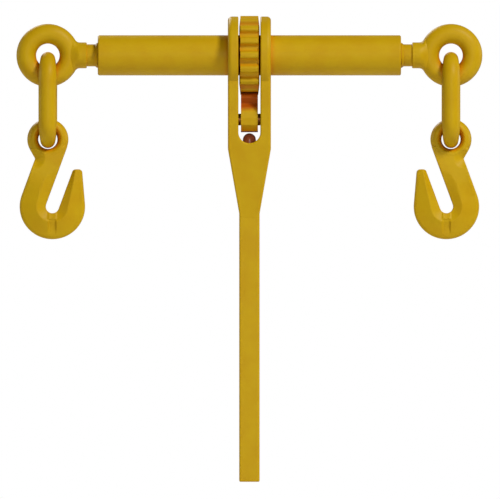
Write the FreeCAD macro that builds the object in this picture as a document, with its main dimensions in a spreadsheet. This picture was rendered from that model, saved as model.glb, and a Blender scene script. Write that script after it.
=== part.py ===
import FreeCAD, Part
import math
import os

import Sketcher
from FreeCAD import Placement, Rotation, Vector

# Ratchet load binder: two eye screws in a ratcheted barrel, with a link and a grab hook on each.
#
# Millimetres. The origin is the middle of the barrel, on its axis. +X runs along the barrel to the
# right-hand end, +Z is up, away from the handle's grip, and -Y is the front.

SIZES = {
    # Barrel and the threaded nuts pressed into its ends
    "barrel_length": 254.0,
    "barrel_diameter": 33.7,
    "barrel_bore": 27.0,
    "barrel_edge": 1.4,
    "nut_length": 25.0,
    "nut_relief": 5.4,
    # Screw thread, trapezoidal 22 x 5
    "thread_major": 22.0,
    "thread_root": 16.5,
    "thread_pitch": 5.0,
    "thread_crest": 1.8,
    "thread_space": 1.8,
    "thread_play": 0.25,
    "flank_play": 0.12,
    # Eye screw, measured outward from the middle of the barrel
    "spigot_start": 3.0,
    "spigot_diameter": 12.0,
    "thread_start": 11.6,
    "thread_end": 126.0,
    "run_out_diameter": 20.9,
    "run_out_end": 129.2,
    "shank_diameter": 18.5,
    "neck_start": 136.3,
    "neck_diameter": 21.7,
    "neck_fillet": 4.4,
    "neck_root_depth": 15.8,
    "neck_root_height": 29.0,
    "eye_centre": 168.9,
    "eye_ring_radius": 18.1,
    "eye_ring_section": 16.5,
    # Stop ring and circlip on the screw's inner end
    "circlip_start": 4.8,
    "circlip_thickness": 1.2,
    "circlip_groove": 10.4,
    "circlip_outside": 16.5,
    "circlip_gap": 3.6,
    "stop_start": 6.2,
    "stop_length": 5.2,
    "stop_outside": 25.6,
    "stop_bore": 12.2,
    # Ratchet gear and its two drive pins
    "gear_teeth": 16,
    "gear_tip_radius": 33.05,
    "gear_root_radius": 28.5,
    "gear_width": 16.9,
    "gear_tip_width": 14.9,
    "gear_bevel_radius": 24.0,
    "gear_space_root": 3.8,
    "gear_space_tip": 8.4,
    "gear_rounding": 2.1,
    "drive_pin_diameter": 5.0,
    "drive_pin_inner": 13.9,
    "drive_pin_outer": 27.6,
    # Handle
    "arm_outer": 18.03,
    "arm_inner": 9.24,
    "head_radius": 32.55,
    "head_bore_play": 0.08,
    "lever_start": 10.0,
    "arm_depth_top": 25.3,
    "arm_depth_crotch": 19.5,
    "crotch_centre": 64.5,
    "shoulder_top": 78.5,
    "shoulder_end": 132.6,
    "grip_half_width": 8.55,
    "grip_half_depth": 13.0,
    "grip_start": 136.6,
    "handle_end": 357.2,
    "head_edge": 3.4,
    "fork_edge": 1.2,
    "lever_edge": 1.5,
    "grip_end_edge": 1.2,
    # Pawl, its pin and the sprung detent plunger
    "pawl_pin_drop": 53.8,
    "pawl_pin_diameter": 9.8,
    "pawl_pin_play": 0.06,
    "pawl_pin_inset": 0.15,
    "pawl_pin_edge": 0.7,
    "pawl_width": 14.2,
    "pawl_rounding": 0.8,
    "plunger_diameter": 10.9,
    "plunger_play": 0.1,
    "plunger_top": 65.3,
    "plunger_bottom": 84.0,
    "plunger_spigot": 5.6,
    "plunger_spigot_end": 89.0,
    "spring_bore_end": 106.0,
    "spring_diameter": 8.2,
    "spring_wire": 1.4,
    "spring_pitch": 3.2,
    "spring_play": 0.1,
    # Coupling link, hanging in the eye
    "link_crown_bar": 12.4,
    "link_leg_bar": 15.2,
    "link_crown_radius": 17.3,
    "link_top_axis": 3.35,
    "link_bottom_axis": 71.5,
    # Grab hook, measured from the middle of its ring
    "hook_ring_drop": 70.4,
    "hook_ring_radius": 17.26,
    "hook_hole_radius": 8.0,
    "hook_bowl_across": 3.8,
    "hook_bowl_drop": 56.3,
    "hook_bowl_radius": 27.4,
    "hook_throat": 11.2,
    "hook_lean": 20.2,
    "hook_point_lean": 4.9,
    "hook_point_drop": 25.1,
    "hook_thickness": 19.0,
    "hook_full_below": 36.0,
    "hook_ring_thickness": 14.6,
    "hook_ring_end_radius": 2.6,
    "hook_neck_thickness": 13.6,
    "hook_neck_above": 11.0,
    "hook_notch_reach": 19.4,
    "hook_edge": 2.6,
    "hook_tip_corner": 2.8,
    "hook_bevel": 7.5,
    "hook_bevel_depth": 3.6,
    "hook_saddle_width": 6.4,
    "hook_rib_end": 10.3,
    "hook_rib_height": 0.8,
    "hook_saddle_drop": 15.5,
    "hook_saddle_depth": 1.6,
    "hook_saddle_radius": 20.8,
    # How long a cut is made when it goes right through
    "through": 110.0,
}

doc = FreeCAD.newDocument("ratchet_load_binder")
sheet = doc.addObject("Spreadsheet::Sheet", "sizes")
for row, (alias, value) in enumerate(SIZES.items(), start=1):
    sheet.set(f"A{row}", alias)
    sheet.set(f"B{row}", str(value))
    sheet.setAlias(f"B{row}", alias)
doc.recompute()


# ---------------------------------------------------------------- helpers

def size(alias):
    """The sheet's value for one alias, for shapes that this script works out itself."""
    return float(sheet.get(alias))


def bind(thing, prop, formula):
    """Tie a property to the sheet: names in the formula are aliases written with a leading #."""
    thing.setExpression(prop, formula.replace("#", "sizes."))


def worked_out(formula):
    result = sheet.evalExpression(formula.replace("#", ""))
    return float(getattr(result, "Value", result))


def new_body(name):
    body = doc.addObject("PartDesign::Body", name)
    body.Label = name
    return body


def origin_part(body, role):
    return next(item for item in body.Origin.OriginFeatures if item.Role == role)


def new_sketch(body, plane, name, turn=0.0):
    """A sketch on one of the body's own planes, turned in that plane by some degrees."""
    sketch = body.newObject("Sketcher::SketchObject", name)
    sketch.AttachmentSupport = [(origin_part(body, plane), "")]
    sketch.MapMode = "FlatFace"
    sketch.AttachmentOffset = Placement(Vector(), Rotation(Vector(0, 0, 1), turn))
    return sketch


def place_point(sketch, geometry, position, formulas):
    """Hold one vertex at the two distances from the sketch's origin."""
    for kind, formula in zip(("DistanceX", "DistanceY"), formulas):
        number = sketch.addConstraint(
            Sketcher.Constraint(kind, -1, 1, geometry, position, worked_out(formula)))
        bind(sketch, f"Constraints[{number}]", formula)


def add_outline(sketch, points):
    """A closed outline of straight lines, each corner held by two formulas."""
    places = [Vector(worked_out(across), worked_out(up), 0) for across, up in points]
    first = sketch.GeometryCount
    count = len(points)
    for index in range(count):
        sketch.addGeometry(Part.LineSegment(places[index], places[(index + 1) % count]), False)
    for index in range(count):
        following = first + (index + 1) % count
        sketch.addConstraint(Sketcher.Constraint("Coincident", first + index, 2, following, 1))
    for index, formulas in enumerate(points):
        place_point(sketch, first + index, 1, formulas)


def add_circle(sketch, centre, radius):
    spot = Vector(worked_out(centre[0]), worked_out(centre[1]), 0)
    number = sketch.addGeometry(Part.Circle(spot, Vector(0, 0, 1), worked_out(radius)), False)
    place_point(sketch, number, 3, centre)
    constraint = sketch.addConstraint(Sketcher.Constraint("Radius", number, worked_out(radius)))
    bind(sketch, f"Constraints[{constraint}]", radius)


def pad(body, sketch, name, length):
    """Add the sketch's area, half the length to each side of its plane."""
    feature = body.newObject("PartDesign::Pad", name)
    feature.Profile = sketch
    feature.SideType = "Symmetric"
    bind(feature, "Length", length)
    doc.recompute()
    return feature


def pocket(body, sketch, name, length):
    """Cut the sketch's area, half the length to each side of its plane."""
    before = body.Shape.Volume
    feature = body.newObject("PartDesign::Pocket", name)
    feature.Profile = sketch
    feature.SideType = "Symmetric"
    bind(feature, "Length", length)
    doc.recompute()
    if feature.Shape.Volume >= before:
        raise RuntimeError(f"{body.Label}: {name} cuts nothing")
    return feature


def turned(body, points, name, axis="H_Axis"):
    """A solid of revolution: points are (along the barrel, radius)."""
    sketch = new_sketch(body, "XZ_Plane", name + "_profile")
    add_outline(sketch, points)
    feature = body.newObject("PartDesign::Revolution", name)
    feature.Profile = sketch
    feature.ReferenceAxis = (sketch, [axis])
    feature.Angle = 360.0
    doc.recompute()
    return feature


def drill(body, name, radius, length, place):
    """Cut a cylinder out of a body; place gives the middle of its first end and its direction."""
    before = body.Shape.Volume
    tool = body.newObject("PartDesign::SubtractiveCylinder", name)
    bind(tool, "Radius", radius)
    bind(tool, "Height", length)
    tool.Placement = place
    doc.recompute()
    if tool.Shape.Volume >= before:
        raise RuntimeError(f"{body.Label}: {name} cuts nothing")
    return tool


def round_edges(body, name, radius, wanted):
    """Fillet the body's edges that the test picks."""
    tip = body.Tip
    names = [f"Edge{number}" for number, edge in enumerate(tip.Shape.Edges, start=1) if wanted(edge)]
    if not names:
        raise RuntimeError(f"{body.Label}: {name} finds no edge")
    feature = body.newObject("PartDesign::Fillet", name)
    feature.Base = (tip, names)
    bind(feature, "Radius", radius)
    doc.recompute()
    return feature


def is_circle_at(edge, along, radius, slack=0.01):
    """True for a circle about the barrel's axis at a distance along it."""
    if not isinstance(edge.Curve, Part.Circle):
        return False
    same_place = abs(abs(edge.Curve.Center.x) - along) < slack
    return same_place and abs(edge.Curve.Radius - radius) < slack


def is_straight_along(edge, direction):
    if not isinstance(edge.Curve, Part.Line):
        return False
    return edge.Curve.Direction.cross(direction).Length < 1e-6


def mirrored(name, source):
    """The left-hand twin of a right-hand piece."""
    twin = doc.addObject("Part::Mirroring", name)
    twin.Label = name
    twin.Source = source
    twin.Normal = Vector(1, 0, 0)
    return twin


# ---------------------------------------------------------------- barrel

def make_barrel_tube():
    body = new_body("barrel_tube")
    outer, inner = "#barrel_diameter / 2", "#barrel_bore / 2"
    turned(body, [("-#barrel_length / 2", inner), ("#barrel_length / 2", inner),
                  ("#barrel_length / 2", outer), ("-#barrel_length / 2", outer)], "tube")
    round_edges(body, "end_rounding", "#barrel_edge",
                lambda edge: is_circle_at(edge, size("barrel_length") / 2, size("barrel_diameter") / 2))
    drill_for_pins(body)
    return body


def drill_for_pins(body):
    """Two radial holes on the back, between gear teeth, for the drive pins."""
    for name, turn in pin_turns().items():
        drill(body, name + "_hole", "#drive_pin_diameter / 2", "#drive_pin_outer",
              Placement(Vector(), Rotation(Vector(1, 0, 0), turn)))


def pin_turns():
    """Each drive pin's turn about the barrel's axis, from straight up, in a tooth space."""
    tooth = 360 / size("gear_teeth")
    return {"upper_pin": -2.5 * tooth, "lower_pin": -5.5 * tooth}


def make_gear():
    body = new_body("ratchet_gear")
    bore, tip = "#barrel_diameter / 2", "#gear_tip_radius"
    turned(body, [("-#gear_width / 2", bore), ("#gear_width / 2", bore),
                  ("#gear_width / 2", "#gear_bevel_radius"), ("#gear_tip_width / 2", tip),
                  ("-#gear_tip_width / 2", tip), ("-#gear_width / 2", "#gear_bevel_radius")], "blank")
    # The space between two teeth, carried on past the tip circle along the same flanks.
    over = 3
    rise = "(#gear_tip_radius - #gear_root_radius)"
    wide = f"(#gear_space_tip / 2 + (#gear_space_tip - #gear_space_root) / 2 / {rise} * {over})"
    space = new_sketch(body, "YZ_Plane", "space_profile", turn=180 / size("gear_teeth"))
    add_outline(space, [("-#gear_space_root / 2", "#gear_root_radius"),
                        ("#gear_space_root / 2", "#gear_root_radius"),
                        (wide, f"#gear_tip_radius + {over}"), (f"-{wide}", f"#gear_tip_radius + {over}")])
    cut = pocket(body, space, "space", "#through")
    spaces = body.newObject("PartDesign::PolarPattern", "spaces")
    spaces.Originals = [cut]
    spaces.Axis = (origin_part(body, "X_Axis"), [""])
    spaces.Angle = 360.0
    bind(spaces, "Occurrences", "#gear_teeth")
    body.Tip = spaces
    doc.recompute()
    along = Vector(1, 0, 0)
    round_edges(body, "tooth_rounding", "#gear_rounding", lambda edge: is_straight_along(edge, along))
    drill_for_pins(body)
    return body


def make_drive_pins():
    """Two pins that carry the gear's torque into the tube, as one group."""
    pins = []
    for name, turn in pin_turns().items():
        pin = doc.addObject("Part::Cylinder", name)
        bind(pin, "Radius", "#drive_pin_diameter / 2")
        bind(pin, "Height", "#drive_pin_outer - #drive_pin_inner")
        rotation = Rotation(Vector(1, 0, 0), turn)
        start = rotation.multVec(Vector(0, 0, size("drive_pin_inner")))
        pin.Placement = Placement(start, rotation)
        pins.append(pin)
    group = doc.addObject("Part::Compound", "gear_drive_pins")
    group.Label = "gear_drive_pins"
    group.Links = pins
    return group


# ---------------------------------------------------------------- screws and nuts

def cut_thread(body, name, middle, near, far, near_half, far_half, length):
    """A helical groove about the barrel's axis.

    middle is where the groove starts along the axis; near and far are the radii of its narrow and
    wide sides, with their half widths.
    """
    profile = new_sketch(body, "XZ_Plane", name + "_profile")
    add_outline(profile, [(f"{middle} - {near_half}", near), (f"{middle} + {near_half}", near),
                          (f"{middle} + {far_half}", far), (f"{middle} - {far_half}", far)])
    before = body.Shape.Volume
    groove = body.newObject("PartDesign::SubtractiveHelix", name)
    groove.Profile = profile
    groove.ReferenceAxis = (profile, ["H_Axis"])
    groove.Mode = 0
    bind(groove, "Pitch", "#thread_pitch")
    bind(groove, "Height", length)
    doc.recompute()
    if groove.Shape.Volume >= before:
        raise RuntimeError(f"{body.Label}: {name} cuts nothing")


# Half widths of the screw's groove at its floor and at the crest, and its depth.
FLOOR_HALF = "(#thread_space / 2)"
CREST_HALF = "((#thread_pitch - #thread_crest) / 2)"
DEPTH = "((#thread_major - #thread_root) / 2)"
FLANK = f"(({CREST_HALF} - {FLOOR_HALF}) / {DEPTH})"


# From the eye's centre to where the neck's fillet starts, and that place along the barrel's axis.
EYE_OUTER = "(#eye_ring_radius + #eye_ring_section / 2)"
NECK_REACH = f"sqrt(({EYE_OUTER} + #neck_fillet)^2 - (#neck_diameter / 2 + #neck_fillet)^2)"
NECK_END = f"(#eye_centre - {NECK_REACH})"


def make_screw_bar():
    """The screw from its inner spigot to the neck, threaded, without its eye."""
    body = new_body("right_screw_bar")
    spigot, shank = "#spigot_diameter / 2", "#shank_diameter / 2"
    major, run_out, neck = "#thread_major / 2", "#run_out_diameter / 2", "#neck_diameter / 2"
    groove = "#circlip_groove / 2"
    groove_end = "#circlip_start + #circlip_thickness"
    lead, edge, step = 2.4, 0.6, 1.4
    crest_end = "(#thread_end - #thread_pitch / 2)"
    turned(body, [
        ("#spigot_start", "0"), (NECK_END, "0"), (NECK_END, neck), (f"#neck_start + {edge}", neck),
        ("#neck_start", f"{neck} - {edge}"), ("#neck_start", shank), ("#run_out_end", shank),
        (f"#run_out_end - {step}", run_out), (f"{crest_end} + {edge}", run_out), (crest_end, major),
        (f"#thread_start + {lead}", major), ("#thread_start", "#thread_root / 2"),
        ("#thread_start", spigot), (groove_end, spigot), (groove_end, groove),
        ("#circlip_start", groove), ("#circlip_start", spigot), (f"#spigot_start + {edge}", spigot),
        ("#spigot_start", f"{spigot} - {edge}")], "blank")
    over = 0.6
    cut_thread(body, "thread", "#thread_start - #thread_pitch / 2", "#thread_root / 2",
               f"#thread_major / 2 + {over}", FLOOR_HALF, f"({CREST_HALF} + {FLANK} * {over})",
               "#thread_end - #thread_start + #thread_pitch / 2")
    return body


def make_neck_flare():
    """The neck's blend into the eye: a fillet in the ring's plane, thinning to the ring's section."""
    ring, fillet, neck = worked_out(EYE_OUTER), size("neck_fillet"), size("neck_diameter") / 2
    start, root = worked_out(NECK_REACH), size("eye_ring_radius")
    thin = size("neck_root_depth") / 2
    touch = start * ring / (ring + fillet)
    sections = []
    for share in (0.0, 0.3, 0.6, 1.0):
        reach = start + (touch - start) * share
        tall = neck + fillet - math.sqrt(fillet ** 2 - (start - reach) ** 2)
        along = (reach - root) / (start - root)
        deep = thin + (neck - thin) * along ** 2 * (3 - 2 * along)
        sections.append((reach, tall, deep))
    sections.append((root, size("neck_root_height") / 2, thin))
    ovals = []
    for number, (reach, tall, deep) in enumerate(sections):
        oval = doc.addObject("Part::Ellipse", f"flare_section_{number}")
        oval.MajorRadius = tall
        oval.MinorRadius = deep
        # The ellipse's long axis is its own X: stand it upright across the barrel's axis.
        oval.Placement = Placement(Vector(size("eye_centre") - reach, 0, 0), Rotation(Vector(0, 1, 0), -90))
        ovals.append(oval)
    flare = doc.addObject("Part::Loft", "neck_flare")
    flare.Sections = ovals
    flare.Solid = True
    return flare


def make_eye_screw():
    ring = doc.addObject("Part::Torus", "eye_ring")
    bind(ring, "Radius1", "#eye_ring_radius")
    bind(ring, "Radius2", "#eye_ring_section / 2")
    ring.Placement = Placement(Vector(size("eye_centre"), 0, 0), Rotation(Vector(1, 0, 0), 90))
    screw = doc.addObject("Part::MultiFuse", "right_eye_screw")
    screw.Label = "right_eye_screw"
    screw.Shapes = [make_screw_bar(), make_neck_flare(), ring]
    doc.recompute()
    return screw


def make_nut():
    """Threaded end nut, pressed into the tube, in step with the screw's thread.

    Its mouth is relieved to clear the end of the screw's thread.
    """
    body = new_body("right_nut")
    inner_end = "(#barrel_length / 2 - #nut_length)"
    outer_end = "#barrel_length / 2"
    bore = "(#thread_root / 2 + #thread_play)"
    crest_radius = "(#thread_major / 2 + #thread_play)"
    relief = f"({outer_end} - #nut_relief)"
    edge = 1.0
    turned(body, [(inner_end, f"{bore} + {edge}"), (f"{inner_end} + {edge}", bore), (relief, bore),
                  (relief, crest_radius), (f"{outer_end} - {edge}", crest_radius),
                  (outer_end, f"{crest_radius} + {edge}"), (outer_end, "#barrel_bore / 2"),
                  (inner_end, "#barrel_bore / 2")], "blank")
    # The groove takes the screw's ridge: it is half a pitch on from the screw's own groove.
    steps = math.floor((size("barrel_length") / 2 - size("nut_length") - size("thread_start"))
                       / size("thread_pitch"))
    start = f"(#thread_start + #thread_pitch * {steps - 1})"
    floor_half = "(#thread_crest / 2 + #flank_play)"
    under = 0.5
    mouth = f"({bore} - {under})"
    mouth_half = f"({floor_half} + {FLANK} * ({crest_radius} - {mouth}))"
    cut_thread(body, "thread", start, crest_radius, mouth, floor_half, mouth_half,
               "#nut_length + #thread_pitch * 3")
    return body


def make_stop_ring():
    body = new_body("right_stop_ring")
    start, end = "#stop_start", "(#stop_start + #stop_length)"
    outer, inner = "#stop_outside / 2", "#stop_bore / 2"
    edge = 0.6
    turned(body, [(start, inner), (end, inner), (end, f"{outer} - {edge}"), (f"{end} - {edge}", outer),
                  (f"{start} + {edge}", outer), (start, f"{outer} - {edge}")], "ring")
    return body


def make_circlip():
    body = new_body("right_circlip")
    start, end = "#circlip_start", "(#circlip_start + #circlip_thickness)"
    turned(body, [(start, "#circlip_groove / 2"), (end, "#circlip_groove / 2"),
                  (end, "#circlip_outside / 2"), (start, "#circlip_outside / 2")], "ring")
    gap = new_sketch(body, "YZ_Plane", "gap_profile")
    half = "#circlip_gap / 2"
    add_outline(gap, [(f"-{half}", "0"), (half, "0"), (half, "#circlip_outside"),
                      (f"-{half}", "#circlip_outside")])
    pocket(body, gap, "gap", "#through")
    return body


# ---------------------------------------------------------------- handle

def cut_fork_gap(body):
    """Cut the gap that the gear and pawl sit in, through the body from front to back."""
    top = "#head_radius * 1.2"
    gap = new_sketch(body, "XZ_Plane", "gap_profile")
    add_outline(gap, [("-#arm_inner", "-#crotch_centre"), ("#arm_inner", "-#crotch_centre"),
                      ("#arm_inner", top), ("-#arm_inner", top)])
    pocket(body, gap, "gap", "#through")


def make_handle_heads():
    """The handle's two round heads, either side of the gear, before they join the lever."""
    body = new_body("handle_heads")
    turned(body, [("-#arm_outer", "0"), ("#arm_outer", "0"),
                  ("#arm_outer", "#head_radius"), ("-#arm_outer", "#head_radius")], "disc")
    round_edges(body, "outer_rim", "#head_edge",
                lambda edge: is_circle_at(edge, size("arm_outer"), size("head_radius")))
    cut_fork_gap(body)
    round_edges(body, "inner_rim", "#fork_edge",
                lambda edge: is_circle_at(edge, size("arm_inner"), size("head_radius")))
    return body


def make_handle():
    heads = make_handle_heads()
    body = new_body("handle")
    side = new_sketch(body, "YZ_Plane", "side_profile")
    crotch = "-(#crotch_centre + #arm_inner + #lever_edge)"
    front = [("-#arm_depth_top", "-#lever_start"), ("-#arm_depth_crotch", crotch),
             ("-#grip_half_depth", "-#grip_start"), ("-#grip_half_depth", "-#handle_end")]
    back = [(across[1:], up) for across, up in reversed(front)]
    add_outline(side, front + back)
    pad(body, side, "lever", "#arm_outer * 2")

    # Waste outside the shoulders, one outline on each side, reaching past the lever.
    past = 5
    waste = new_sketch(body, "XZ_Plane", "waste_profile")
    for sign in ("", "-"):
        add_outline(waste, [(f"{sign}#arm_outer", "-#shoulder_top"),
                            (f"{sign}#grip_half_width", "-#shoulder_end"),
                            (f"{sign}#grip_half_width", f"-#handle_end - {past}"),
                            (f"{sign}(#arm_outer + {past})", f"-#handle_end - {past}"),
                            (f"{sign}(#arm_outer + {past})", "-#shoulder_top")])
    pocket(body, waste, "waste", "#through")
    along, cross = Vector(1, 0, 0), Vector(0, 1, 0)
    round_edges(body, "lever_rounding", "#lever_edge",
                lambda edge: not is_straight_along(edge, along) and not is_straight_along(edge, cross))
    round_edges(body, "end_rounding", "#grip_end_edge",
                lambda edge: abs(edge.BoundBox.ZMax + size("handle_end")) < 0.01)

    cut_fork_gap(body)
    crotch_round = new_sketch(body, "XZ_Plane", "crotch_profile")
    add_circle(crotch_round, ("0", "-#crotch_centre"), "#arm_inner")
    pocket(body, crotch_round, "crotch", "#through")

    def is_fork_rim(edge):
        """The gap's long edges on the lever's front and back, and the crotch's round rims."""
        middle = edge.valueAt((edge.FirstParameter + edge.LastParameter) / 2)
        bottom = -size("crotch_centre") - size("arm_inner") - 1
        between_arms = abs(middle.x) < size("arm_inner") + 0.01
        in_gap = between_arms and bottom < middle.z < -size("lever_start")
        level = is_straight_along(edge, cross) or is_straight_along(edge, along)
        return in_gap and not level and abs(middle.y) > size("grip_half_depth")

    round_edges(body, "fork_rounding", "#fork_edge", is_fork_rim)
    joined = body.newObject("PartDesign::Boolean", "join_heads")
    joined.Type = "Fuse"
    joined.Group = [heads]
    doc.recompute()

    bore = new_sketch(body, "YZ_Plane", "barrel_bore_profile")
    add_circle(bore, ("0", "0"), "#barrel_diameter / 2 + #head_bore_play")
    pocket(body, bore, "barrel_bore", "#through")
    pin_hole = new_sketch(body, "YZ_Plane", "pin_hole_profile")
    add_circle(pin_hole, ("0", "-#pawl_pin_drop"), "#pawl_pin_diameter / 2")
    pocket(body, pin_hole, "pin_hole", "#through")
    drill(body, "spring_bore", "#plunger_diameter / 2 + #plunger_play",
          "#spring_bore_end - #crotch_centre", Placement(Vector(0, 0, -size("spring_bore_end")), Rotation()))
    return body


def make_pawl_pin():
    body = new_body("pawl_pin")
    half, radius = "(#arm_outer - #pawl_pin_inset)", "#pawl_pin_diameter / 2"
    turned(body, [(f"-{half}", "0"), (half, "0"), (half, f"{radius} - #pawl_pin_edge"),
                  (f"{half} - #pawl_pin_edge", radius), (f"-{half} + #pawl_pin_edge", radius),
                  (f"-{half}", f"{radius} - #pawl_pin_edge")], "pin")
    body.Placement = Placement(Vector(0, 0, -size("pawl_pin_drop")), Rotation())
    return body


def make_pawl():
    """Double-ended pawl: a tooth at the front and one at the back, and a cam foot for the plunger.

    It is drawn about its own pin, in the neutral position where both teeth clear the gear.
    """
    body = new_body("pawl")
    outline = new_sketch(body, "YZ_Plane", "pawl_profile")
    half = [("3.1", "-10.6"), ("12.2", "-9.9"), ("17.2", "-4.6"), ("18", "1"), ("17.6", "6.2"),
            ("15.2", "10.4"), ("11.4", "13.4"), ("14.8", "18.4"), ("13.6", "20.5"), ("10.67", "22.17"),
            ("8.78", "18.82"), ("5.2", "15.6")]
    other = [(f"-{across}", up) for across, up in reversed(half)]
    add_outline(outline, half + other)
    pad(body, outline, "pawl_plate", "#pawl_width")
    pin_hole = new_sketch(body, "YZ_Plane", "pin_hole_profile")
    add_circle(pin_hole, ("0", "0"), "#pawl_pin_diameter / 2 + #pawl_pin_play")
    pocket(body, pin_hole, "pin_hole", "#through")
    along = Vector(1, 0, 0)
    hole_rim = size("pawl_pin_diameter")
    round_edges(body, "profile_rounding", "#pawl_rounding",
                lambda edge: is_straight_along(edge, along) and edge.CenterOfMass.Length > hole_rim)
    body.Placement = Placement(Vector(0, 0, -size("pawl_pin_drop")), Rotation())
    return body


def upright_turned(body, points, name):
    """A solid of revolution about +Z: points are (radius, height)."""
    return turned(body, points, name, axis="V_Axis")


def make_plunger():
    body = new_body("detent_plunger")
    radius, spigot = "#plunger_diameter / 2", "#plunger_spigot / 2"
    shoulder = f"-(#plunger_top + {radius})"
    upright_turned(body, [("0", "-#plunger_spigot_end"), (spigot, "-#plunger_spigot_end"),
                          (spigot, "-#plunger_bottom"), (radius, "-#plunger_bottom"),
                          (radius, shoulder), ("0", shoulder)], "stem")
    dome = body.newObject("PartDesign::AdditiveSphere", "dome")
    bind(dome, "Radius", radius)
    dome.Placement = Placement(Vector(0, 0, -size("plunger_top") - size("plunger_diameter") / 2), Rotation())
    doc.recompute()
    return body


def make_spring():
    """Compression spring under the plunger, round its spigot."""
    body = new_body("plunger_spring")
    wire = new_sketch(body, "XZ_Plane", "wire_profile")
    low = "-(#spring_bore_end - #spring_wire / 2 - #spring_play)"
    add_circle(wire, ("#spring_diameter / 2", low), "#spring_wire / 2")
    coil = body.newObject("PartDesign::AdditiveHelix", "coil")
    coil.Profile = wire
    coil.ReferenceAxis = (wire, ["V_Axis"])
    coil.Mode = 0
    bind(coil, "Pitch", "#spring_pitch")
    bind(coil, "Height", "#spring_bore_end - #plunger_bottom - #spring_wire - #spring_play * 2")
    doc.recompute()
    return body


# ---------------------------------------------------------------- coupling link

def link_stations():
    """Places round the link's axis: height, distance from its middle, turn and share of crown.

    The share is 1 at the middle of a crown and 0 along the legs.
    """
    radius = size("link_crown_radius")
    upper, lower = -size("link_top_axis") - radius, -size("link_bottom_axis") + radius
    crown_steps, leg_steps = 12, 8
    stations = []
    for centre, start in ((upper, 0), (lower, 180)):
        for step in range(crown_steps + 1):
            angle = start + 180 * step / crown_steps
            aside = radius * math.cos(math.radians(angle))
            up = radius * math.sin(math.radians(angle))
            stations.append((centre + up, aside, angle, (up / radius) ** 2))
        leg_side = -radius if start == 0 else radius
        leg_from, leg_to = (upper, lower) if start == 0 else (lower, upper)
        for step in range(1, leg_steps):
            height = leg_from + (leg_to - leg_from) * step / leg_steps
            stations.append((height, leg_side, start + 180, 0.0))
    return stations


def make_link():
    """Forged link in the YZ plane: a closed loop of round bar, thickest along its two legs."""
    sections = []
    for number, (height, aside, angle, crown_share) in enumerate(link_stations()):
        section = doc.addObject("Part::Circle", f"link_section_{number}")
        bind(section, "Radius", f"(#link_leg_bar - (#link_leg_bar - #link_crown_bar) * {crown_share}) / 2")
        section.Placement = Placement(Vector(0, aside, height), Rotation(Vector(1, 0, 0), angle + 180))
        sections.append(section)
    loop = doc.addObject("Part::Loft", "right_link")
    loop.Label = "right_link"
    loop.Sections = sections
    loop.Solid = True
    loop.Closed = True
    loop.Placement = Placement(Vector(size("eye_centre"), 0, 0), Rotation())
    doc.recompute()
    return loop


# ---------------------------------------------------------------- grab hook

def hook_frame():
    """The hook's key points in its own plane, drawn for the right-hand end.

    across is +X away from the barrel's middle; the throat leans inboard at its top.
    """
    lean = math.radians(size("hook_lean"))
    bowl = Vector(-size("hook_bowl_across"), 0, -size("hook_bowl_drop"))
    up_throat = Vector(-math.sin(lean), 0, math.cos(lean))
    to_point = Vector(-math.cos(lean), 0, -math.sin(lean))
    return bowl, up_throat, to_point


def arc(start, through, end):
    return Part.Arc(start, through, end).toShape()


def line(start, end):
    return Part.LineSegment(start, end).toShape()


def hook_outline():
    """Face of the shank, bowl and point; its top ends inside the ring."""
    bowl, up_throat, to_point = hook_frame()
    ring, big, small = size("hook_ring_radius"), size("hook_bowl_radius"), size("hook_throat") / 2
    # The shank's outer side touches the bowl and ends in a notch below the ring; its inner side,
    # which is the throat's own wall, touches the ring.
    outer_touch = bowl - to_point * big
    aside = outer_touch.dot(to_point)
    notch_reach = size("hook_notch_reach")
    notch = to_point * aside - up_throat * math.sqrt(notch_reach ** 2 - aside ** 2)
    # From the notch a straight line touches the ring on its outboard side.
    turn = Rotation(Vector(0, 1, 0), -math.degrees(math.acos(ring / notch_reach)))
    ring_side = turn.multVec(notch * (ring / notch_reach))
    in_wall = ring_side * ((ring + size("hook_hole_radius")) / 2 / ring)
    throat_left = bowl - to_point * small
    throat_right = bowl + to_point * small
    inner_top = throat_left - up_throat * throat_left.dot(up_throat)
    point_lean = math.radians(size("hook_point_lean"))
    point_side = bowl + Vector(-math.cos(point_lean), 0, math.sin(point_lean)) * big
    point_up = Vector(math.sin(point_lean), 0, math.cos(point_lean))
    end_height = -size("hook_point_drop")
    outer_end = point_side + point_up * ((end_height - point_side.z) / point_up.z)
    inner_end = throat_right + up_throat * ((end_height - throat_right.z) / up_throat.z)
    edges = [
        line(inner_top, in_wall),
        line(in_wall, ring_side),
        line(ring_side, notch),
        line(notch, outer_touch),
        arc(outer_touch, bowl - Vector(0, 0, big), point_side),
        line(point_side, outer_end),
        line(outer_end, inner_end),
        line(inner_end, throat_right),
        arc(throat_right, bowl - up_throat * small, throat_left),
        line(throat_left, inner_top),
    ]
    return Part.Face(Part.Wire(edges))


def bevel_section(place, outward, width, depth):
    """Triangle cut from one face at the throat's wall: it reaches width along the face."""
    face, over = size("hook_thickness") / 2, 0.3
    wall = place + outward * (size("hook_throat") / 2 - over)
    slope = depth / width
    deep = wall + Vector(0, face - depth - over * slope, 0)
    top = wall + Vector(0, face + over, 0)
    ridge = top + outward * (width + over + over / slope)
    return Part.makePolygon([deep, ridge, top, deep])


# The bevel's course up the throat, in mm from the bowl's centre. Up the shank it grows a little
# wider, by the second number, and then fades to a share of its depth; up the point it narrows to a
# share of its width.
BEVEL_UP_SHANK = ((0, 0, 1.0), (10, 1.4, 1.0), (20, 1.6, 0.75), (34, 0.6, 0.08))
BEVEL_UP_POINT = ((0, 1.0), (28, 0.5), (44, 0.25))


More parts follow.
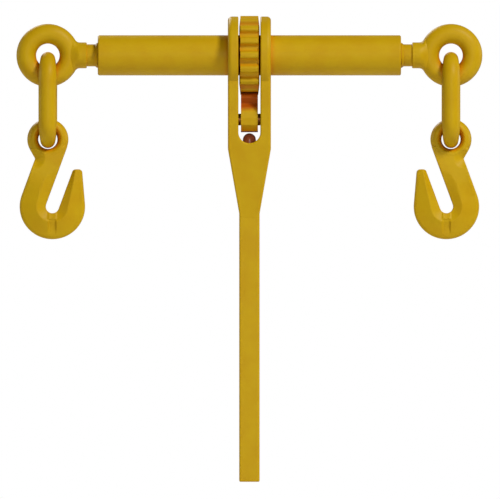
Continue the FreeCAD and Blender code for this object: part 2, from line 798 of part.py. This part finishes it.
def throat_bevel():
    """Cutter for the bevel that thins the hook round its throat, on the back face."""
    bowl, up_throat, to_point = hook_frame()
    width, depth = size("hook_bevel"), size("hook_bevel_depth")
    start = bevel_section(bowl, -to_point, width, depth)
    round_bowl = Part.Face(start).revolve(bowl, Vector(0, 1, 0), 180)
    shank = [bevel_section(bowl + up_throat * along, -to_point, width + wider, depth * share)
             for along, wider, share in BEVEL_UP_SHANK]
    point = [bevel_section(bowl + up_throat * along, to_point, width * share, depth)
             for along, share in BEVEL_UP_POINT]
    cutter = Part.makeLoft(shank, True, True).fuse(Part.makeLoft(point, True, True))
    return cutter.fuse(round_bowl)


def saddle_strip(top, bottom):
    """Box over the bowl's middle, behind the hook's own plane, between two drops below its centre."""
    bowl = hook_frame()[0]
    width = size("hook_saddle_width")
    return Part.makeBox(width, size("hook_thickness"), bottom - top, bowl - Vector(width / 2, 0, bottom))


def face_cutter():
    """Everything cut from the hook's back face: the bevel, with a rib and a saddle in the bowl."""
    bowl = hook_frame()[0]
    strip = saddle_strip(0, size("hook_rib_end"))
    bevel = throat_bevel()
    raised = bevel.copy()
    raised.translate(Vector(0, size("hook_rib_height"), 0))
    face, scoop_radius = size("hook_thickness") / 2, size("hook_saddle_radius")
    middle = bowl + Vector(0, face + scoop_radius - size("hook_saddle_depth"), -size("hook_saddle_drop"))
    scoop = Part.makeCylinder(scoop_radius, face * 4, middle - Vector(face * 2, 0, 0), Vector(1, 0, 0))
    saddle = scoop.common(saddle_strip(size("hook_rib_end"), size("hook_bowl_radius")))
    return bevel.cut(strip).fuse(raised.common(strip)).fuse(saddle)


def thickness_profile():
    """The hook seen from the side: a thinner neck under the ring and a thicker shank and bowl."""
    neck, full = size("hook_neck_thickness") / 2, size("hook_thickness") / 2
    reach = size("hook_bowl_drop") + size("hook_bowl_radius")
    heights = [(neck, reach), (neck, -size("hook_neck_above")), (full, -size("hook_full_below")),
               (full, -reach * 2)]
    points = [Vector(-reach, depth, height) for depth, height in heights]
    points += [Vector(-reach, -depth, height) for depth, height in reversed(heights)]
    face = Part.Face(Part.makePolygon(points + points[:1]))
    return face.extrude(Vector(reach * 2, 0, 0))


def hook_ring():
    """The ring that hangs on the link: an oval of four arcs turned about the hook's cross axis."""
    outer, inner = size("hook_ring_radius"), size("hook_hole_radius")
    middle, wall = Vector((outer + inner) / 2, 0, 0), (outer - inner) / 2
    half, end = size("hook_ring_thickness") / 2, size("hook_ring_end_radius")
    # The flatter side arcs run on into the end arcs without a corner.
    side = ((half - end) ** 2 + wall ** 2 - end ** 2) / (2 * (wall - end))
    slope = math.atan2(half - end, side - wall)
    join = Vector(side * math.cos(slope) - (side - wall), side * math.sin(slope), 0)
    corners = [middle + Vector(across * join.x, along * join.y, 0)
               for across, along in ((1, -1), (1, 1), (-1, 1), (-1, -1))]
    ends = [middle + Vector(wall, 0, 0), middle + Vector(0, half, 0),
            middle - Vector(wall, 0, 0), middle - Vector(0, half, 0)]
    edges = [arc(corners[index], ends[index], corners[(index + 1) % 4]) for index in range(4)]
    section = Part.Face(Part.Wire(edges))
    return section.revolve(Vector(), Vector(0, 1, 0), 360)


def hook_shape():
    thickness = size("hook_thickness")
    outline = hook_outline()
    outline.translate(Vector(0, -thickness / 2, 0))
    blank = outline.extrude(Vector(0, thickness, 0))
    tip_height = -size("hook_point_drop")
    corners = [edge for edge in blank.Edges
               if abs(edge.BoundBox.ZMin - tip_height) < 0.01 and edge.BoundBox.XLength < 0.01]
    blank = blank.makeFillet(size("hook_tip_corner"), corners)
    rims = [edge for edge in blank.Edges if edge.BoundBox.YLength < 1e-4]
    blank = blank.makeFillet(size("hook_edge"), rims)
    blank = blank.common(thickness_profile())
    hole = Part.makeCylinder((size("hook_ring_radius") + size("hook_hole_radius")) / 2, thickness,
                             Vector(0, -thickness / 2, 0), Vector(0, 1, 0))
    blank = blank.cut(hole).fuse(hook_ring())
    back = face_cutter()
    front = back.mirror(Vector(), Vector(0, 1, 0))
    return blank.cut(back).cut(front).removeSplitter().Solids[0]


def make_hook():
    hook = doc.addObject("Part::Feature", "right_hook")
    hook.Label = "right_hook"
    hook.Shape = hook_shape()
    hook.Placement = Placement(Vector(size("eye_centre"), 0, -size("hook_ring_drop")), Rotation())
    return hook


# ---------------------------------------------------------------- the whole binder

RIGHT_PIECES = {
    "nut": make_nut,
    "eye_screw": make_eye_screw,
    "stop_ring": make_stop_ring,
    "circlip": make_circlip,
    "link": make_link,
    "hook": make_hook,
}


def make_binder():
    pieces = [make_barrel_tube(), make_gear(), make_drive_pins(), make_handle(), make_pawl_pin(),
              make_pawl(), make_plunger(), make_spring()]
    for name, make in RIGHT_PIECES.items():
        right = make()
        pieces += [right, mirrored("left_" + name, right)]
    doc.recompute()
    return pieces


def check(pieces):
    for item in doc.Objects:
        if "Invalid" in item.State or "Error" in item.State:
            raise RuntimeError(f"{item.Label} failed: {item.State}")
    for piece in pieces:
        if piece.Shape.isNull() or not piece.Shape.isValid():
            raise RuntimeError(f"{piece.Label} has no sound shape")


def export(pieces):
    os.makedirs("parts", exist_ok=True)
    for piece in pieces:
        piece.Shape.exportStep(f"parts/{piece.Label}.step")
        print(f"{piece.Label}: {len(piece.Shape.Solids)} solid(s), {piece.Shape.Volume / 1000:.2f} cm3")


binder = make_binder()
check(binder)
export(binder)
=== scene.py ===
"""Looks of the ratchet load binder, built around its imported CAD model.

Metres, apart from the values said to be in millimetres. The frame is the CAD model's own: the
barrel lies along X at the origin, the handle hangs down -Z and the front faces -Y.
"""
import math

import bpy
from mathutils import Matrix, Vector


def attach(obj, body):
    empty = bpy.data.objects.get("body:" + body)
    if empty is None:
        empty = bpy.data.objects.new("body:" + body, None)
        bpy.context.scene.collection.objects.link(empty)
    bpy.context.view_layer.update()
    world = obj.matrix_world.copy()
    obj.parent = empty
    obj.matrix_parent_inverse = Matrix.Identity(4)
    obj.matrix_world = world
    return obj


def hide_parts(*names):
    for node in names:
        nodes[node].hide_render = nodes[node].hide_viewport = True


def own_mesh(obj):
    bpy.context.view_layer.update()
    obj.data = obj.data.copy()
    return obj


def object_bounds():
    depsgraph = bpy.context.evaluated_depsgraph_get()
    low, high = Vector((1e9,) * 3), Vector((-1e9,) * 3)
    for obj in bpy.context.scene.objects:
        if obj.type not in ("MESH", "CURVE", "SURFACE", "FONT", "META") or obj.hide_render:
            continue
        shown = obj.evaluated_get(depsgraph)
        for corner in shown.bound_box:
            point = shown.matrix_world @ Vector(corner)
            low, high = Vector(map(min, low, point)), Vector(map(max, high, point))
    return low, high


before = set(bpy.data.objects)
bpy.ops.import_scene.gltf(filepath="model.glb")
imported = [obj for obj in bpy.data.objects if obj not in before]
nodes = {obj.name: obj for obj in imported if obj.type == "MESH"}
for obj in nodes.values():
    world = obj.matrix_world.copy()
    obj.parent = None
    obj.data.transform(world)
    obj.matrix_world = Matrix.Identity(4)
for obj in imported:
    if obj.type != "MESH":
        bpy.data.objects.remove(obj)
cad_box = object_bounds()


def linear(red, green, blue):
    """A colour picker's 0 to 255 values as linear light, by the sRGB curve."""
    def one(value):
        value /= 255
        return value / 12.92 if value <= 0.04045 else ((value + 0.055) / 1.055) ** 2.4
    return (one(red), one(green), one(blue), 1.0)


MM = 0.001
WHITE = (1.0, 1.0, 1.0, 1.0)

# Camera: a long lens square to the front, so that the picture is nearly free of perspective. The
# view's centre is its place across and up.
VIEW_WIDTH = 0.419
VIEW_CENTRE = (0.0005, -0.1627)
LENS_MM = 1000.0
SENSOR_MM = 36.0
FAR_CLIP = 50.0

# Lights, which all face one point: name, place, width across and watts. The last three stand behind
# the object and hardly reach its front.
LIT_POINT = (0, 0, -0.12)
LIGHTS = (
    ("key", (1.9, -2.2, 2.6), 1.0, 105),
    ("front", (0.2, -3.2, 0.3), 0.8, 17),
    ("side_fill", (-2.2, -1.6, 0.4), 1.2, 4),
    ("back_key", (-1.2, 2.6, 1.8), 1.2, 42),
    ("back_left", (-2.6, 0.9, 0.4), 1.0, 11),
    ("back_right", (2.6, 0.9, 0.4), 1.0, 11),
)
# Strength of the white surroundings: as the camera sees them, and as they light the object.
SEEN_WHITE = 1.0
ROOM_LIGHT = 0.06

FLOOR_DROP = 0.24
FLOOR_RADIUS = 2.0
FLOOR_SIDES = 96
FLOOR_COLOUR = linear(238, 238, 236)
FLOOR_ROUGHNESS = 0.7

PAINT = linear(206, 166, 8)
PAINT_DEEP = linear(202, 158, 5)
# Painted bounce light and painted shade, where light reaches paint only by way of more paint:
# orange first, then red-brown.
PAINTED_BOUNCE_LIGHT = linear(212, 134, 4)
PAINTED_CREVICE_SHADE = linear(126, 52, 4)
# Painted shade on the pawl's top, under the gear's teeth.
PAINTED_PAWL_SHADE = linear(178, 84, 5)
# How open to the light the paint is, from 1 down to 0, where each tint starts and where it is full.
BOUNCE_FROM, BOUNCE_FULL = 0.76, 0.38
SHADE_FROM, SHADE_FULL = 0.32, 0.06
HOLLOW_SAMPLES = 16
# Scales of the paint's noise patterns: a bigger number is a finer pattern. The swell is the steel's
# unevenness under the paint and the ripple the paint's own, each with a strength and a height.
TONE_SCALE, SWELL_SCALE, GLOSS_SCALE, SHADE_EDGE_SCALE, RIPPLE_SCALE = 60, 110, 260, 300, 1100
SWELL, SWELL_MM = 0.18, 0.5
RIPPLE, RIPPLE_MM = 0.16, 0.06
# How far, in mm, the edge of the pawl's painted shade wanders.
SHADE_EDGE_MM = 1.5
PAINT_ROUGHNESS = (0.43, 0.52)
PAINT_SPECULAR = 0.15
# The part of a noise pattern's range that makes the full change, for the tone and for the rest.
TONE_SPREAD = (0.35, 0.65)
SPREAD = (0.3, 0.7)

# Steels: colour, roughness and metallic share.
STEELS = {
    # The pawl pin's and the plunger's warm brown is painted reflection of the yellow paint round
    # them.
    "pawl_pin_painted_reflection_steel": (linear(206, 132, 72), 0.42, 0.75),
    "plunger_steel": (linear(226, 126, 84), 0.2, 0.0),
    "pin_steel": (linear(150, 145, 138), 0.35, 1.0),
    "spring_steel": (linear(110, 108, 106), 0.3, 1.0),
    "nut_steel": (linear(140, 132, 120), 0.4, 1.0),
}
BLOTCH_SCALE, GRAIN_SCALE = 160, 1500
# The film's blotches take the steel's colour down to this share, and change its roughness.
BLOTCH_SHADE = 0.6
BLOTCH_ROUGHER, BLOTCH_SMOOTHER = 0.08, 0.05
GRAIN, GRAIN_MM = 0.2, 0.05

# The grab hook's plan in mm, as in the CAD model: the ring's centre measured outwards from the
# binder's middle and down from the barrel's axis, the bowl's centre inwards and down from the
# ring's, the throat's lean, and the notch under the ring outwards and down from the ring's centre.
EYE_ACROSS, RING_DROP = 168.9, 70.4
BOWL_ACROSS, BOWL_DROP = 3.8, 56.3
HOOK_LEAN = math.radians(20.2)
NOTCH_ACROSS, NOTCH_DROP = 10.65, 16.22
# A ridge runs round the throat, this far in mm from its middle line. Up the point it comes nearer,
# by this share of the distance from the bowl's centre. Outside it the faces fall away at the draft
# angle, though never below the least share of their thickness. Up the shank the draft fades out
# between two heights.
RIDGE_REACH = 13.1
RIDGE_NEARER = 0.13
HALF_THICK = 9.5
DRAFT = math.tan(math.radians(17))
LEAST_THICK = 0.45
DRAFT_FROM, DRAFT_FULL = -98.0, -118.0
# The corner at the notch is thinned by this share, less and less out to a reach in mm.
PINCH, PINCH_REACH = 0.6, 8.0
# The copy's mesh is rebuilt from even squares this wide, and its edges are eased in a few passes.
VOXEL_MM = 0.5
EASE, EASE_PASSES = 0.5, 4


# ---------------------------------------------------------------- node helpers

def feed(tree, socket, value):
    """Give an input socket a value, or join another node's output to it."""
    if isinstance(value, bpy.types.NodeSocket):
        tree.links.new(value, socket)
    else:
        socket.default_value = value


class Nodes:
    """Short ways to add and join shader nodes in one material or world."""

    def __init__(self, owner):
        owner.use_nodes = True
        self.tree = owner.node_tree
        self.tree.nodes.clear()

    def add(self, kind, values=None, **props):
        node = self.tree.nodes.new(kind)
        for name, value in props.items():
            setattr(node, name, value)
        for name, value in (values or {}).items():
            feed(self.tree, node.inputs[name], value)
        return node

    def noise(self, place, scale, detail):
        node = self.add("ShaderNodeTexNoise", {"Vector": place, "Scale": scale, "Detail": detail})
        return node.outputs["Fac"]

    def between(self, value, low, high, out_low=0.0, out_high=1.0):
        node = self.add("ShaderNodeMapRange", {"Value": value, "From Min": low, "From Max": high,
                                               "To Min": out_low, "To Max": out_high})
        return node.outputs["Result"]

    def mix(self, share, first, second):
        node = self.add("ShaderNodeMix", data_type="RGBA")
        for name, value in (("Factor", share), ("A", first), ("B", second)):
            feed(self.tree, next(s for s in node.inputs if s.name == name and s.enabled), value)
        return next(s for s in node.outputs if s.enabled)

    def math(self, operation, first, second):
        return self.add("ShaderNodeMath", {0: first, 1: second}, operation=operation).outputs[0]

    def bump(self, height, strength, distance, **under):
        node = self.add("ShaderNodeBump", {"Height": height, "Strength": strength,
                                           "Distance": distance, **under})
        return node.outputs["Normal"]

    def finish(self, shader, kind="ShaderNodeOutputMaterial"):
        self.tree.links.new(shader, self.add(kind).inputs["Surface"])


# ---------------------------------------------------------------- materials

def paint(name, forged=1.0, reach=9.0, shade_heights=None):
    """Satin golden-yellow enamel over forged or machined steel.

    forged scales the broad unevenness of the steel under the paint. reach is how near, in mm, other
    paint has to be for its painted bounce light and painted shade to show. The last argument is a
    pair of heights, in mm, between which the paint turns brown as painted shade under the gear's
    teeth.
    """
    material = bpy.data.materials.new(name)
    n = Nodes(material)
    place = n.add("ShaderNodeTexCoord").outputs["Object"]
    colour = n.mix(n.between(n.noise(place, TONE_SCALE, 3), *TONE_SPREAD), PAINT_DEEP, PAINT)
    # Painted bounce light and painted shade: the less open to the light, the more orange, then
    # red-brown.
    hollow = n.add("ShaderNodeAmbientOcclusion", {"Distance": reach * MM},
                   samples=HOLLOW_SAMPLES).outputs["AO"]
    colour = n.mix(n.between(hollow, BOUNCE_FROM, BOUNCE_FULL), colour, PAINTED_BOUNCE_LIGHT)
    colour = n.mix(n.between(hollow, SHADE_FROM, SHADE_FULL), colour, PAINTED_CREVICE_SHADE)
    # Painted shade: the paint turns brown from the given heights up, under the gear's teeth.
    if shade_heights:
        height = n.add("ShaderNodeSeparateXYZ", {"Vector": place}).outputs["Z"]
        uneven = n.math("MULTIPLY", n.noise(place, SHADE_EDGE_SCALE, 2), SHADE_EDGE_MM * MM)
        shade_line = n.math("ADD", height, uneven)
        colour = n.mix(n.between(shade_line, shade_heights[0] * MM, shade_heights[1] * MM), colour, PAINTED_PAWL_SHADE)
    swell = n.bump(n.noise(place, SWELL_SCALE, 3), SWELL * forged, SWELL_MM * MM)
    ripple = n.bump(n.noise(place, RIPPLE_SCALE, 2), RIPPLE, RIPPLE_MM * MM, Normal=swell)
    rough = n.between(n.noise(place, GLOSS_SCALE, 3), *SPREAD, *PAINT_ROUGHNESS)
    surface = n.add("ShaderNodeBsdfPrincipled", {"Base Color": colour, "Roughness": rough,
                                                 "Specular IOR Level": PAINT_SPECULAR,
                                                 "Normal": ripple})
    n.finish(surface.outputs["BSDF"])
    return material


def steel(name):
    """Bare or oiled steel with a fine grain and a blotchy film, from the table of steels."""
    colour, rough, metallic = STEELS[name]
    material = bpy.data.materials.new(name)
    n = Nodes(material)
    place = n.add("ShaderNodeTexCoord").outputs["Object"]
    blotch = n.between(n.noise(place, BLOTCH_SCALE, 4), *SPREAD)
    dark = tuple(BLOTCH_SHADE * part for part in colour[:3]) + (1.0,)
    roughness = n.between(blotch, 0.0, 1.0, rough + BLOTCH_ROUGHER, rough - BLOTCH_SMOOTHER)
    grain = n.bump(n.noise(place, GRAIN_SCALE, 2), GRAIN, GRAIN_MM * MM)
    surface = n.add("ShaderNodeBsdfPrincipled", {"Base Color": n.mix(blotch, dark, colour),
                                                 "Roughness": roughness, "Metallic": metallic,
                                                 "Normal": grain})
    n.finish(surface.outputs["BSDF"])
    return material


def dress(material, *names):
    """Give CAD nodes a material."""
    for name in names:
        for slot in nodes[name].material_slots:
            slot.material = material


def dress_all():
    dress(paint("barrel_enamel", forged=0.2), "barrel_tube")
    forged = paint("forged_enamel")
    dress(forged, "left_eye_screw", "right_eye_screw", "left_link", "right_link", "handle")
    forged_hook("left_hook", -1, forged)
    forged_hook("right_hook", 1, forged)
    dress(paint("gear_enamel", forged=0.3, reach=12.0), "ratchet_gear")
    dress(paint("pawl_enamel", forged=0.3, reach=26.0, shade_heights=(-46.5, -42.5)), "pawl")
    dress(steel("pawl_pin_painted_reflection_steel"), "pawl_pin")
    dress(steel("plunger_steel"), "detent_plunger")
    dress(steel("pin_steel"), "gear_drive_pins", "left_stop_ring", "right_stop_ring")
    spring = steel("spring_steel")
    dress(spring, "left_circlip", "right_circlip")
    yielding_spring(spring)
    dress(steel("nut_steel"), "left_nut", "right_nut")


# ---------------------------------------------------------------- pieces that stand for CAD nodes

def copy_of(name, suffix, material, body):
    """A CAD node's mesh as a new piece that stands for the node and rides on its body."""
    piece = bpy.data.objects.new(name + suffix, nodes[name].data.copy())
    bpy.context.scene.collection.objects.link(piece)
    piece.data.materials.clear()
    piece.data.materials.append(material)
    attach(piece, body)
    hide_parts(name)
    return piece


def yielding_spring(material):
    """The plunger's spring, as a copy of its CAD node that rides on the handle."""
    coil = copy_of("plunger_spring", "_coil", material, "handle")
    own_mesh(coil)


def hook_draft(mesh, side):
    """Let a hook's faces fall away from the ridge round its throat, as a forging's draft does.

    side is -1 for the left-hand hook and 1 for the right-hand one.
    """
    bowl = Vector((side * (EYE_ACROSS - BOWL_ACROSS), -RING_DROP - BOWL_DROP))
    notch = Vector((side * (EYE_ACROSS + NOTCH_ACROSS), -RING_DROP - NOTCH_DROP))
    up_throat = Vector((-side * math.sin(HOOK_LEAN), math.cos(HOOK_LEAN)))
    for vertex in mesh.vertices:
        place = Vector((vertex.co.x, vertex.co.z)) / MM
        from_bowl = place - bowl
        along, aside = from_bowl.dot(up_throat), from_bowl.cross(up_throat)
        reach = from_bowl.length if along < 0 else abs(aside)
        on_point = along > 0 and side * aside < 0
        ridge = RIDGE_REACH - (RIDGE_NEARER * along if on_point else 0.0)
        down = (DRAFT_FROM - place.y) / (DRAFT_FROM - DRAFT_FULL)
        share = 1.0 if on_point else min(max(down, 0.0), 1.0)
        drop = share * DRAFT * max(reach - ridge, 0.0) / HALF_THICK
        pinch = PINCH * max(1.0 - (place - notch).length / PINCH_REACH, 0.0)
        vertex.co.y *= max(1.0 - drop, LEAST_THICK) * (1.0 - pinch)


def forged_hook(name, side, material):
    """A CAD hook with a drop forging's draft and eased edges, which stands for its node."""
    piece = copy_of(name, "_forging", material, name)
    even = piece.modifiers.new("even_mesh", "REMESH")
    even.mode = "VOXEL"
    even.voxel_size = VOXEL_MM * MM
    even.use_smooth_shade = True
    evened = piece.evaluated_get(bpy.context.evaluated_depsgraph_get())
    piece.data = bpy.data.meshes.new_from_object(evened)
    piece.modifiers.clear()
    hook_draft(piece.data, side)
    ease = piece.modifiers.new("eased_edges", "SMOOTH")
    ease.factor = EASE
    ease.iterations = EASE_PASSES


# ---------------------------------------------------------------- camera, light and floor

def make_camera():
    data = bpy.data.cameras.new("camera")
    data.lens = LENS_MM
    data.sensor_width = SENSOR_MM
    data.clip_end = FAR_CLIP
    camera = bpy.data.objects.new("camera", data)
    distance = VIEW_WIDTH * LENS_MM / SENSOR_MM
    camera.location = (VIEW_CENTRE[0], -distance, VIEW_CENTRE[1])
    camera.rotation_euler = (math.radians(90), 0, 0)
    bpy.context.scene.collection.objects.link(camera)
    bpy.context.scene.camera = camera


def area_light(name, place, width, watts):
    data = bpy.data.lights.new(name, "AREA")
    data.shape = "DISK"
    data.size = width
    data.energy = watts
    light = bpy.data.objects.new(name, data)
    light.location = place
    light.rotation_euler = (Vector(LIT_POINT) - Vector(place)).to_track_quat("-Z", "Y").to_euler()
    bpy.context.scene.collection.objects.link(light)


def light_scene():
    for light in LIGHTS:
        area_light(*light)
    world = bpy.data.worlds.new("studio")
    bpy.context.scene.world = world
    n = Nodes(world)
    ray = n.add("ShaderNodeLightPath").outputs["Is Camera Ray"]
    seen = n.add("ShaderNodeBackground", {"Color": WHITE, "Strength": SEEN_WHITE})
    lit = n.add("ShaderNodeBackground", {"Color": WHITE, "Strength": ROOM_LIGHT})
    both = n.add("ShaderNodeMixShader", {0: ray, 1: lit.outputs[0], 2: seen.outputs[0]})
    n.finish(both.outputs[0], "ShaderNodeOutputWorld")
    bpy.context.scene.view_settings.view_transform = "Standard"


def make_floor():
    """A pale round floor well below the grip, out of the picture."""
    height = cad_box[0].z - FLOOR_DROP
    bpy.ops.mesh.primitive_circle_add(vertices=FLOOR_SIDES, radius=FLOOR_RADIUS, fill_type="NGON",
                                      location=(0, 0, height))
    floor = bpy.context.object
    floor.name = "floor"
    material = bpy.data.materials.new("pale_floor")
    n = Nodes(material)
    surface = n.add("ShaderNodeBsdfPrincipled", {"Base Color": FLOOR_COLOUR,
                                                 "Roughness": FLOOR_ROUGHNESS})
    n.finish(surface.outputs["BSDF"])
    floor.data.materials.append(material)


dress_all()
make_camera()
light_scene()
make_floor()
